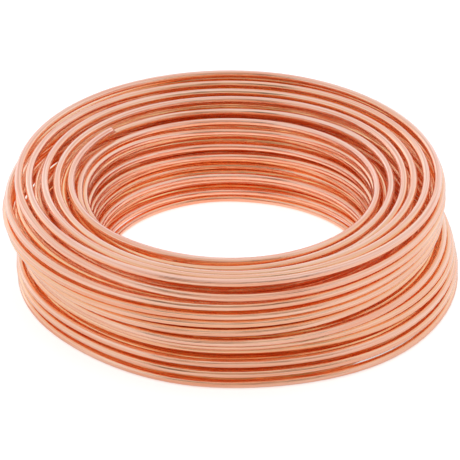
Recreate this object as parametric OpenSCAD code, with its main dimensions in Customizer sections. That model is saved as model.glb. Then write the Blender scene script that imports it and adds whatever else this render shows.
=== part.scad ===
// Loose coil of bare copper wire, lying flat on its side.
// The whole bundle of turns is one turned body with a clear hole through it.
// Half-round ridges, one to a turn, stand out of its two ends, its outer wall
// and the flared mouth of the hole.  Origin: centre of the footprint, +Z up.

/* [Wire] */
// Diameter of the bare wire
wire_d = 3.26; // [1.6:0.02:5.2]

/* [Coil] */
// Diameter over the widest turn, which lies on the floor
coil_d = 195; // [160:1:240]
// Diameter over the topmost turn
top_d = 182; // [150:1:240]
// Height of the topmost turn's upper side above the floor
coil_h = 49.5; // [40:0.5:90]

/* [Hole] */
// Diameter of the clear hole through the coil
bore_d = 102; // [60:1:110]
// Length of the straight part of the hole's wall
bore_len = 17; // [5:0.5:22]
// Diameter inside the innermost turn of the upper end
mouth_d = 120; // [111:1:130]
// How far that innermost turn lies below the topmost one
mouth_drop = 10; // [0:0.5:12]
// Width of the plain edge between the hole's wall and the first turn under it
bore_edge = 0.5; // [0.1:0.1:1.5]

/* [Turns] */
// Least clear gap between neighbouring turns on the outer wall and in the mouth
wall_gap = 0.8; // [0.2:0.1:3]
// Least clear gap between neighbouring turns on the two ends
end_gap = 1.8; // [0.2:0.1:4]

/* [Hidden] */
wire_r = wire_d / 2;
// Facets round the coil, and round the wire
coil_facets = 96;
wire_facets = 24;

// Centres of the turns at the corners of the bundle's section, as [radius, height]
base_inner = [bore_d / 2 + bore_edge + wire_r, wire_r];
base_outer = [coil_d / 2 - wire_r, wire_r];
top_outer = [top_d / 2 - wire_r, coil_h - wire_r];
top_inner = [mouth_d / 2 + wire_r, coil_h - wire_r - mouth_drop];

// Ends of the hole's straight wall, and the foot of the flare above it
bore_low = [bore_d / 2, wire_r];
bore_high = [bore_d / 2, wire_r + bore_len];
flare_foot = [bore_d / 2 + wire_r, wire_r + bore_len];

// Number of equal steps of at least one turn and its gap between two points
function steps(from, to, gap) =
    max(1, floor(norm(to - from) / (wire_d + gap)));

// Turns side by side from one point to another, without the one at the start
module turns(from, to, gap) {
    count = steps(from, to, gap);
    for (i = [1:count])
        translate(from + (to - from) * i / count)
            circle(r = wire_r, $fn = wire_facets);
}

// Section of the bundle: a core through the turns' centres, and the turns round it
module bundle_section() {
    polygon([
        bore_low,
        base_outer,
        top_outer,
        top_inner,
        flare_foot,
        bore_high
    ]);
    turns(base_outer, base_inner, end_gap);
    turns(top_outer, base_outer, wall_gap);
    turns(top_inner, top_outer, end_gap);
    turns(flare_foot, top_inner, wall_gap);
}

// The coil: the section turned once round the vertical axis
module wire_coil() {
    color([0.91, 0.6, 0.46])
        rotate_extrude($fn = coil_facets)
            bundle_section();
}

wire_coil();
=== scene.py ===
"""A coil of bright bare copper wire, lying flat: one wire of about 66 loose turns.

Everything is in metres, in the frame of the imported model.  The winding itself is worked out in
wire diameters, as radius and height at each azimuth, and turned into metres at the end.
"""

import math

import bpy
import numpy as np
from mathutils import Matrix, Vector


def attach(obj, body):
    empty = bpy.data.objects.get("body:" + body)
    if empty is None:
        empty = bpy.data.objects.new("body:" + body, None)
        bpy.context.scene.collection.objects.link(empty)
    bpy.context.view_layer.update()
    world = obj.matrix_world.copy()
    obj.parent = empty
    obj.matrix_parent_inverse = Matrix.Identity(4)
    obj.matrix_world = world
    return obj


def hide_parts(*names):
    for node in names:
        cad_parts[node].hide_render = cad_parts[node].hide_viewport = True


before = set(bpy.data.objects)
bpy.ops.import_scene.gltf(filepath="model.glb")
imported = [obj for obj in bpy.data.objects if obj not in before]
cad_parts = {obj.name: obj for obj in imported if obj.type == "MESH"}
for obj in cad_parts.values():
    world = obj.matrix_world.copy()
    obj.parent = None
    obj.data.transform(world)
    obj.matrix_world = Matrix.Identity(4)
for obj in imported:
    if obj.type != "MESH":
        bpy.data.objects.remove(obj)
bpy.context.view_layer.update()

TAU = 2 * math.pi

# The wire: bare soft copper, 8 gauge, 100 ft
WIRE = 0.00326

# The coil, in wire diameters: RING is the top turn's radius and TOP its height.  FLOOR_DROP is how far
# below it a turn on the floor lies, and no turn's middle comes nearer to the axis than BORE_SIDE.
RING = 26.9
TOP = 14.85
FLOOR_DROP = TOP - 0.5
BORE_SIDE = 16.2

# How many turns lie in each layer, floor layer first
LAYER_TURNS = (7, 7, 6, 6, 6, 6, 6, 5, 5, 5)

# Where the outermost turn of each layer lies, floor layer first: its radius in rings, and its drop below
# the top turn in wire diameters.  The back is straight, and BACK_RISE is from its floor to its top turn.
LEFT = ((1.02, FLOOR_DROP), (1.02, 12.75), (1.015, 11.4), (0.985, 9.9), (0.985, 8.6),
        (1.0, 7.4), (1.03, 6.3), (1.055, 5.2), (1.068, 4.2), (1.045, 2.75))
FRONT = ((0.968, FLOOR_DROP), (0.970, 12.85), (0.97, 11.3), (0.93, 10.1), (0.955, 9.1),
         (0.985, 7.9), (0.985, 6.6), (0.98, 5.35), (0.98, 4.3), (0.985, 3.0))
RIGHT = ((1.108, FLOOR_DROP), (1.102, 12.8), (1.092, 11.3), (1.078, 10.2), (1.062, 9.1),
         (1.03, 7.7), (0.997, 6.1), (1.01, 5.0), (1.01, 3.7), (1.015, 2.6))
BACK_RADIUS = 1.02
BACK_RISE = 12.2

# Where the innermost turn of each layer lies at the back; the other three sides run evenly floor to top
INNER_BACK = ((0.602, FLOOR_DROP), (0.602, 13.3), (0.64, 12.2), (0.615, 11.0), (0.67, 10.1),
              (0.69, 9.1), (0.65, 8.1), (0.665, 6.8), (0.72, 5.7), (0.69, 4.9))
INNER_LEFT = ((0.63, FLOOR_DROP), (0.70, 2.9))
INNER_FRONT = ((0.62, FLOOR_DROP), (0.72, 3.1))
INNER_RIGHT = ((0.70, FLOOR_DROP), (0.715, 3.5))

# How far in rings, round which azimuth and over how many degrees the wall lies in or out: the lower
# layers sit flatter at the front left and fuller at the front right, and one floor turn has slipped in
FLATTER = (0.022, 229, 24)
FULLER = (0.02, 313, 24)
SLIPPED = (0.05, 316, 12)

# The wire starts on the floor at the back, and its cut end lies on the top at the back left
START_AZIMUTH = 90
END_AZIMUTH = 142
END_LIES = (0.735, 1.0)

# The last turns, listed one by one: every quarter turn back from the left side next to the cut end,
# (radius, drop) at the left, front, right and back
LAST_TURNS = ((0.747, 0.9), (0.752, 0.95), (0.705, 2.0), (0.705, 3.5),
              (0.705, 2.3), (0.788, 1.42), (0.775, 1.3), (0.77, 2.85),
              (0.78, 1.7), (0.86, 1.3), (0.829, 0.5), (0.83, 1.7),
              (0.812, 0.5), (0.887, 0.3), (0.876, 0.3), (0.885, 1.3),
              (0.868, 0.2), (0.925, 0.2), (0.938, 0), (0.95, 0.76),
              (0.945, 0), (0.96, 0), (0.992, 0), (1.0, 0),
              (0.993, 0), (0.983, 1.6), (1.012, 1.0), (1.015, 0.70),
              (1.045, 2.75))

RINGS_PER_TURN = 96
SIDES = 14
SEED = 1

# The camera looks down on the coil at this elevation; its distance and its aim are in rings, the aim to
# the right of the axis and below the top turn
ELEVATION = 32.5
DISTANCE = 7
AIM_RIGHT = 0.007
AIM_BELOW = 0.35
SENSOR = 36
LENS = 112.2


# ---------------------------------------------------------------- camera

def aim(obj, place, target):
    """Puts an object at a place with its -Z axis towards the target."""
    obj.location = place
    obj.rotation_euler = (Vector(target) - Vector(place)).to_track_quat("-Z", "Y").to_euler()


def camera():
    """Looks down at the coil from the front."""
    ring = RING * WIRE
    target = Vector((AIM_RIGHT * ring, 0, TOP * WIRE - AIM_BELOW * ring))
    elevation = math.radians(ELEVATION)
    distance = DISTANCE * ring
    data = bpy.data.cameras.new("camera")
    data.sensor_width = SENSOR
    data.lens = LENS
    cam = bpy.data.objects.new("camera", data)
    bpy.context.collection.objects.link(cam)
    back = Vector((0, -math.cos(elevation), math.sin(elevation)))
    aim(cam, target + distance * back, target)
    bpy.context.scene.camera = cam


camera()


# ---------------------------------------------------------------- winding

def smooth(x):
    """Eases from 0 at 0 to 1 at 1, and stays there on both sides."""
    x = np.clip(x, 0, 1)
    return x * x * (3 - 2 * x)


def wander(rng, count, knots_per_turn):
    """Smooth random drift along the wire."""
    x = np.arange(count) / RINGS_PER_TURN * knots_per_turn + 1
    i = np.floor(x).astype(int)
    f = x - i
    knots = rng.normal(0, 1, i[-1] + 4)
    weights = ((1 - f) ** 3, 3 * f**3 - 6 * f**2 + 4, -3 * f**3 + 3 * f**2 + 3 * f + 1, f**3)
    return sum(w * knots[i + k - 1] for k, w in enumerate(weights)) / 6


def through(at, knots, values):
    """A smooth curve through values at uneven knots."""
    knots = np.asarray(knots, float)
    values = np.asarray(values, float)
    slope = np.gradient(values, knots, axis=0)
    i = np.clip(np.searchsorted(knots, at) - 1, 0, len(knots) - 2)
    wide = (knots[i + 1] - knots[i])[:, None]
    s = (at - knots[i])[:, None] / wide
    rise = (3 - 2 * s) * s**2
    bend = (s**3 - 2 * s**2 + s) * slope[i] + (s**3 - s**2) * slope[i + 1]
    return values[i] + (values[i + 1] - values[i]) * rise + wide * bend


def around(theta, left, front, right, back):
    """Blends what holds at the four sides round the coil."""
    across = np.where(np.cos(theta) < 0, left, right)
    along = np.where(np.sin(theta) < 0, front, back)
    return across * np.cos(theta) ** 2 + along * np.sin(theta) ** 2


def bulge(azimuth, far, middle, spread):
    """A smooth hump round one azimuth."""
    return far * np.exp(-((azimuth - middle) / spread) ** 2)


def lie(theta, layer, place):
    """Radius and drop of one turn at each azimuth: layers count from the floor, place 1 is outermost."""
    level = layer / (len(LAYER_TURNS) - 1)
    left, front, right, inner_back = (
        np.array(side)[layer].T for side in (LEFT, FRONT, RIGHT, INNER_BACK))
    back = np.array([np.full_like(level, BACK_RADIUS), FLOOR_DROP - BACK_RISE * level])
    outer = around(theta, left, front, right, back)
    inner_sides = [np.array(low)[:, None] * (1 - level) + np.array(high)[:, None] * level
                   for low, high in (INNER_LEFT, INNER_FRONT, INNER_RIGHT)]
    inner = around(theta, *inner_sides, inner_back)
    azimuth = np.degrees(theta) % 360
    lower = np.clip(1.4 - 2 * level, 0, 1)
    outer[0] -= (bulge(azimuth, *FLATTER) - bulge(azimuth, *FULLER)) * lower
    turn = inner + (outer - inner) * place
    # The floor turn that slipped in is the last but one, and the floor shows past it
    slipped = (layer == 0) & (place > 0.8) & (place < 1)
    turn[0] -= slipped * bulge(azimuth, *SLIPPED)
    return turn


def by_turns(section):
    """The section's points, a row for each turn, so that a column lies at one azimuth."""
    rows = -(-len(section) // RINGS_PER_TURN)
    spare = rows * RINGS_PER_TURN - len(section)
    far_away = np.arange(1, spare + 1)[:, None] * [1e3, 1e3]
    return np.concatenate([section, far_away]).reshape(rows, RINGS_PER_TURN, 2)


def settle(r, z, pull, steps=160):
    """Pushes turns that lie in each other apart, draws each back towards its place and keeps it smooth.

    The pull fades out, and the last steps smooth less, so that at the end no turn cuts into another.
    """
    count = len(r)
    home = np.stack([r, z], 1)
    off = home * 0
    for step in range(steps):
        grid = by_turns(home + off)
        own = np.arange(len(grid))
        gap = grid[:, None] - grid[None]
        dist = np.sqrt((gap**2).sum(-1)) + 1e-9
        over = np.clip(1 - dist, 0, None)
        over[own, own] = 0
        push = (gap * (over / dist)[..., None]).sum(1) * 0.5
        late = step / steps
        off += push.reshape(-1, 2)[:count]
        off *= 1 - (pull * (1 - late))[:, None]
        for _ in range(3 if late < 0.9 else 1):
            off[1:-1] += ((off[:-2] + off[2:]) / 2 - off[1:-1]) * 0.5
        off = np.maximum(home + off, [BORE_SIDE, TOP - FLOOR_DROP]) - home
    return (home + off).T


def places(turns):
    """Where the turns of one layer lie, 0 inner to 1 outer: two close together at each face."""
    return np.concatenate([[0], np.linspace(0.14, 0.89, turns - 2), [1]])


def winding():
    """The wire's centreline from its start, at the foot of the back, to its cut end, in metres."""
    rng = np.random.default_rng(SEED)
    top_layer = len(LAYER_TURNS) - 1
    layer = np.repeat(np.arange(top_layer + 1), LAYER_TURNS)
    place = np.concatenate([places(n)[::1 if (top_layer - k) % 2 == 0 else -1]
                            for k, n in enumerate(LAYER_TURNS)])
    lanes = len(layer)
    # Azimuth counts on from the cut end to the start; the listed last turns go over into lanes at joins
    joins = 180 + 90 * (len(LAST_TURNS) - 1)
    begins = joins + 180 + START_AZIMUTH + 360 * (lanes - 1)
    count = int((begins - END_AZIMUTH) / 360 * RINGS_PER_TURN) + 1
    turned = END_AZIMUTH + (count - 1 - np.arange(count)) * 360 / RINGS_PER_TURN
    theta = np.radians(turned)
    # The wire steps over to the next lane at the back near the outer wall and at the front near the
    # bore, over a third to two thirds of a turn
    halfway = (place[1:] + place[:-1]) / 2
    azimuth = 90 + 180 * (1 - halfway) + rng.normal(0, 14, lanes - 1)
    at = joins + 180 + (lanes - 1 - np.arange(1, lanes)) * 360 + azimuth
    width = rng.uniform(120, 260, lanes - 1)
    progress = sum(smooth((a - turned) / w + 0.5) for a, w in zip(at, width))
    i = np.clip(np.floor(progress).astype(int), 0, lanes - 2)
    f = progress - i
    r, drop = lie(theta, layer[i], place[i]) * (1 - f) + lie(theta, layer[i + 1], place[i + 1]) * f
    across = place[i] * (1 - f) + place[i + 1] * f
    knots = [END_AZIMUTH] + [180 + 90 * k for k in range(len(LAST_TURNS))]
    laid_r, laid_drop = through(turned, knots, (END_LIES, *LAST_TURNS)).T
    laid = smooth((joins + 20 - turned) / 40)
    r = r * (1 - laid) + laid_r * laid
    drop = drop * (1 - laid) + laid_drop * laid
    # Turns at the two faces keep to their places, and the listed last turns most of all
    face = np.abs(2 * across - 1) ** 6
    loose = (0.32 - 0.20 * face * (across > 0.5)) * (1 - laid) + 0.07 * laid
    r = r * RING + wander(rng, count, 2) * loose
    z = TOP - drop + wander(rng, count, 2) * loose
    r, z = settle(r, z, 0.02 + 0.05 * face * (1 - laid) + 0.06 * laid)
    return np.stack([r * np.cos(theta), r * np.sin(theta), z], 1) * WIRE


# ---------------------------------------------------------------- the wire's mesh

def openness(path):
    """How far each point of the surface looks out before another turn is met, 0 touching to 1 clear.

    A turn is met where its middle lies within 0.6 of a diameter of the line straight out of the
    surface, and past 5 diameters the view is clear.
    """
    count = len(path)
    grid = by_turns(np.stack([np.hypot(path[:, 0], path[:, 1]), path[:, 2]], 1) / WIRE)
    gap = grid[None] - grid[:, None]
    reach = []
    for turn in np.arange(SIDES) / SIDES * TAU:
        ahead = -gap[..., 0] * math.cos(turn) + gap[..., 1] * math.sin(turn)
        across = (gap**2).sum(-1) - ahead**2
        met = (ahead > 0.1) & (across < 0.6**2)
        reach.append(np.where(met, ahead - 1, 99).min(1).ravel()[:count])
    out = np.clip(np.array(reach).T / 5, 0, 1) ** 1.2
    for _ in range(5):
        out = (np.roll(out, 1, 1) + 2 * out + np.roll(out, -1, 1)) / 4
        out[1:-1] = (out[:-2] + 2 * out[1:-1] + out[2:]) / 4
    return out


def tube(path):
    """Rings of points round the path, the two at its ends slanting and pinched by the cutters."""
    step = np.gradient(path, axis=0)
    along = step / np.linalg.norm(step, axis=1)[:, None]
    up = np.array([0, 0, 1.0]) - along * along[:, 2:]
    up /= np.linalg.norm(up, axis=1)[:, None]
    side = np.cross(along, up)
    turn = np.arange(SIDES) / SIDES * TAU
    cos, sin = np.cos(turn), np.sin(turn)
    ring = side[:, None] * cos[None, :, None] + up[:, None] * sin[None, :, None]
    verts = path[:, None] + ring * WIRE / 2
    lean = (cos * 0.3 + sin * 0.45) * WIRE
    for end, way in ((0, 1), (len(path) - 1, -1)):
        verts[end] += along[end] * (lean * way)[:, None]
        verts[end] = path[end] + (verts[end] - path[end]) * 0.96
    return verts


def wire_mesh(path):
    """The wire as one closed tube, unrolled in a UV map: once around, and metres along."""
    count = len(path)
    i = np.arange(count - 1)[:, None] * SIDES
    k = np.arange(SIDES)[None]
    nxt = (k + 1) % SIDES
    quads = np.stack([i + k, i + nxt, i + SIDES + nxt, i + SIDES + k], -1).reshape(-1, 4)
    faces = quads.tolist()
    faces.append(list(range(SIDES))[::-1])
    faces.append([(count - 1) * SIDES + s for s in range(SIDES)])
    mesh = bpy.data.meshes.new("copper_wire")
    mesh.from_pydata(tube(path).reshape(-1, 3).tolist(), [], faces)
    length = np.concatenate([[0], np.cumsum(np.linalg.norm(np.diff(path, axis=0), axis=1))])
    corner_u = np.stack([k, k + 1, k + 1, k], -1) / SIDES + 0 * i[..., None]
    corner_v = np.stack([length[:-1], length[:-1], length[1:], length[1:]], -1)[:, None] + 0 * corner_u
    uv = np.stack([corner_u, corner_v], -1).reshape(-1, 2)
    ends = np.zeros((2 * SIDES, 2))
    unrolled = mesh.uv_layers.new(name="along_wire")
    unrolled.data.foreach_set("uv", np.concatenate([uv, ends]).ravel())
    # Openness, kept on the mesh, paints shade and inter-reflection between the turns into the copper's
    # colour
    painted_shade_openness = mesh.attributes.new("open", "FLOAT", "POINT")
    painted_shade_openness.data.foreach_set("value", openness(path).ravel())
    mesh.validate()
    mesh.shade_smooth()
    mesh.update()
    wire = bpy.data.objects.new("copper_wire", mesh)
    bpy.context.collection.objects.link(wire)
    return wire


# ---------------------------------------------------------------- materials

class Value:
    """A socket that Python's operators add Math nodes to."""

    def __init__(self, paint, socket):
        self.paint = paint
        self.socket = socket

    def maths(self, operation, a, b=None):
        """A Math node of one or two values."""
        inputs = {0: a} if b is None else {0: a, 1: b}
        return self.paint.node("ShaderNodeMath", {"operation": operation}, inputs)

    def __add__(self, other):
        return self.maths("ADD", self, other)

    def __radd__(self, other):
        return self.maths("ADD", other, self)

    def __sub__(self, other):
        return self.maths("SUBTRACT", self, other)

    def __rsub__(self, other):
        return self.maths("SUBTRACT", other, self)

    def __mul__(self, other):
        return self.maths("MULTIPLY", self, other)

    def __rmul__(self, other):
        return self.maths("MULTIPLY", other, self)

    def __abs__(self):
        return self.maths("ABSOLUTE", self)

    def get(self, name):
        """Another output of the same node."""
        return Value(self.paint, self.socket.node.outputs[name])


class Paint:
    """The node tree of one material or of the world."""

    def __init__(self, owner):
        owner.use_nodes = True
        self.tree = owner.node_tree
        self.tree.nodes.clear()

    def node(self, kind, settings=None, inputs=None, output=0):
        """Adds a node with its settings and its sockets' values or links, and gives its output."""
        made = self.tree.nodes.new(kind)
        for name, value in (settings or {}).items():
            setattr(made, name, value)
        for name, value in (inputs or {}).items():
            socket = made.inputs[name]
            if isinstance(value, Value):
                self.tree.links.new(value.socket, socket)
            else:
                socket.default_value = value
        return Value(self, made.outputs[output])

    def blend(self, factor, first, second):
        """A colour that goes from the first to the second as the factor goes from 0 to 1."""
        return self.node("ShaderNodeMix", {"data_type": "RGBA"},
                         {"Factor": factor, 6: first, 7: second}, output=2)

    def dim(self, colour, level):
        """A colour times a level."""
        return self.node("ShaderNodeVectorMath", {"operation": "SCALE"}, {0: colour, "Scale": level})

    def rise(self, low, high, value):
        """0 at low, 1 at high, smooth between; low may be the larger."""
        return self.node("ShaderNodeMapRange", {"interpolation_type": "SMOOTHSTEP"},
                         {"Value": value, "From Min": low, "From Max": high})

    def finish(self, kind, surface):
        """Adds the output node."""
        out = self.tree.nodes.new(kind)
        self.tree.links.new(surface.socket, out.inputs["Surface"])


def drawn(paint, across, per_metre, detail):
    """Noise stretched along the wire, as a die leaves it: so many cells across and along."""
    uv = paint.node("ShaderNodeUVMap", {"uv_map": "along_wire"})
    parts = paint.node("ShaderNodeSeparateXYZ", inputs={0: uv})
    angle, along = parts.get("X") * TAU, parts.get("Y")
    cos, sin = angle.maths("COSINE", angle), angle.maths("SINE", angle)
    place = paint.node("ShaderNodeCombineXYZ",
                       inputs={0: cos * across, 1: sin * across, 2: along * per_metre})
    return paint.node("ShaderNodeTexNoise", {"noise_dimensions": "3D"},
                      {"Vector": place, "Scale": 1.0, "Detail": detail, "Roughness": 0.6})


def bright_copper():
    """Bright drawn copper: fine draw lines, broad dull streaks, and a deeper colour painted as shade
    between turns.
    """
    clean = (1.0, 0.62, 0.47, 1)
    streaked = (0.92, 0.39, 0.24, 1)
    painted_shade_between_turns = (1.0, 0.58, 0.265, 1)
    material = bpy.data.materials.new("bright_copper")
    paint = Paint(material)
    lines = drawn(paint, 7, 9, 3.0)
    streaks = drawn(paint, 2.4, 22, 2.0)
    dull = paint.node("ShaderNodeMapRange", inputs={"Value": streaks, "From Min": 0.36, "From Max": 0.64})
    # Painted shade and inter-reflection: metal on show is paler, metal facing its neighbours is painted
    # deeper
    # The coat, too, lies only on the metal on show
    openness_for_painted_shade = paint.node("ShaderNodeAttribute", {"attribute_name": "open"}, output="Fac")
    tone_and_painted_shade = paint.blend(openness_for_painted_shade, painted_shade_between_turns, paint.blend(dull, clean, streaked))
    relief = paint.node("ShaderNodeBump",
                        inputs={"Strength": 0.5, "Distance": 0.00016, "Height": lines + 3 * streaks})
    copper = paint.node("ShaderNodeBsdfPrincipled", inputs={
        "Base Color": tone_and_painted_shade, "Metallic": 1.0, "Roughness": 0.06 + lines * 0.08, "Normal": relief,
        "Coat Weight": openness_for_painted_shade * 0.9, "Coat Roughness": 0.07, "Coat IOR": 1.75})
    paint.finish("ShaderNodeOutputMaterial", copper)
    return material


# ---------------------------------------------------------------- build

path = winding()
wire = wire_mesh(path)
wire.data.materials.append(bright_copper())
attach(wire, "root")
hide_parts("wire_coil")


# ---------------------------------------------------------------- studio

def floor():
    """A plain pale floor that glows for the camera and for the metal, and keeps the coil's shadow.

    Places are in metres from the coil's axis.
    """
    pale = (0.8, 0.77, 0.73, 1)
    neutral = (1, 1, 1, 1)
    painted_copper_bounce = (1, 0.89, 0.82, 1)
    bpy.ops.mesh.primitive_plane_add(size=6, location=(0, 0, 0))
    plane = bpy.context.object
    plane.name = "floor"
    material = bpy.data.materials.new("white_floor")
    paint = Paint(material)
    sight = paint.node("ShaderNodeLightPath")
    glossy = sight.get("Is Glossy Ray")
    place = paint.node("ShaderNodeTexCoord", output="Object")
    radius = paint.node("ShaderNodeVectorMath", {"operation": "LENGTH"}, {0: place}, output="Value")
    parts = paint.node("ShaderNodeSeparateXYZ", inputs={0: place})
    # Painted light: the floor glows brighter inside the bore, where the coil's shadow falls
    painted_light_in_bore = paint.rise(0.09, 0.05, radius)
    # Painted shade: the floor seen in the metal is a little dimmer in front of the coil
    painted_shade_in_front = paint.rise(0.05, -0.12, parts.get("Y")) * paint.rise(0.13, 0.04, abs(parts.get("X")))
    mirrored = (glossy + sight.get("Is Transmission Ray")) * (0.32 + 0.3 * painted_light_in_bore - 0.04 * painted_shade_in_front)
    seen = sight.get("Is Camera Ray") * (0.6 + 0.1 * painted_light_in_bore) + mirrored
    # For glossy rays the floor glows in a copper tint: painted copper bounce light in the metal's
    # reflections
    light = paint.dim(paint.blend(glossy, neutral, painted_copper_bounce), seen)
    matt = paint.node("ShaderNodeBsdfDiffuse", inputs={"Color": pale})
    glow = paint.node("ShaderNodeEmission", inputs={"Color": light, "Strength": 1.0})
    both = paint.node("ShaderNodeAddShader", inputs={0: matt, 1: glow})
    paint.finish("ShaderNodeOutputMaterial", both)
    plane.data.materials.append(material)


def surround():
    """A cool white tent, brighter low behind; its warm opening in front has the dark camera in it.

    x, y and z are the direction that a ray goes in, each from -1 to 1.
    """
    cool = (1.0, 1.06, 1.15, 1)
    warm = (1, 0.90, 0.82, 1)
    camera_z = 0.52
    world = bpy.data.worlds.new("tent")
    bpy.context.scene.world = world
    paint = Paint(world)
    way = paint.node("ShaderNodeTexCoord", output="Generated")
    parts = paint.node("ShaderNodeSeparateXYZ", inputs={0: way})
    x, y, z = parts.get("X"), parts.get("Y"), parts.get("Z")
    off = abs(x)
    opening = paint.rise(0.66, 0.50, off) * paint.rise(0.05, -0.2, y) * paint.rise(0.95, 0.75, z)
    band = paint.rise(0.19, 0.06, abs(z - camera_z)) * opening
    dark = band * (0.46 + 0.26 * paint.rise(0.24, 0.36, off))
    behind = paint.rise(-0.1, 0.5, y) * paint.rise(0.6, 0.2, z)
    strip = paint.rise(0.3, 0.6, 0 - x) * paint.rise(0.3, 0.6, y) * paint.rise(0.35, 0.1, z)
    level = 0.86 + behind * 0.18 + strip * 0.4 - opening * 0.13 - dark
    cloth = paint.dim(paint.blend(opening, cool, warm), level)
    tent = paint.node("ShaderNodeBackground", inputs={"Color": cloth, "Strength": 1.0})
    white = paint.node("ShaderNodeBackground", inputs={"Color": (1, 1, 1, 1), "Strength": 1.0})
    sight = paint.node("ShaderNodeLightPath")
    both = paint.node("ShaderNodeMixShader", inputs={0: sight.get("Is Camera Ray"), 1: tent, 2: white})
    paint.finish("ShaderNodeOutputWorld", both)


floor()
surround()

scene = bpy.context.scene
scene.cycles.max_bounces = 16
scene.cycles.glossy_bounces = 14
scene.view_settings.view_transform = "Standard"
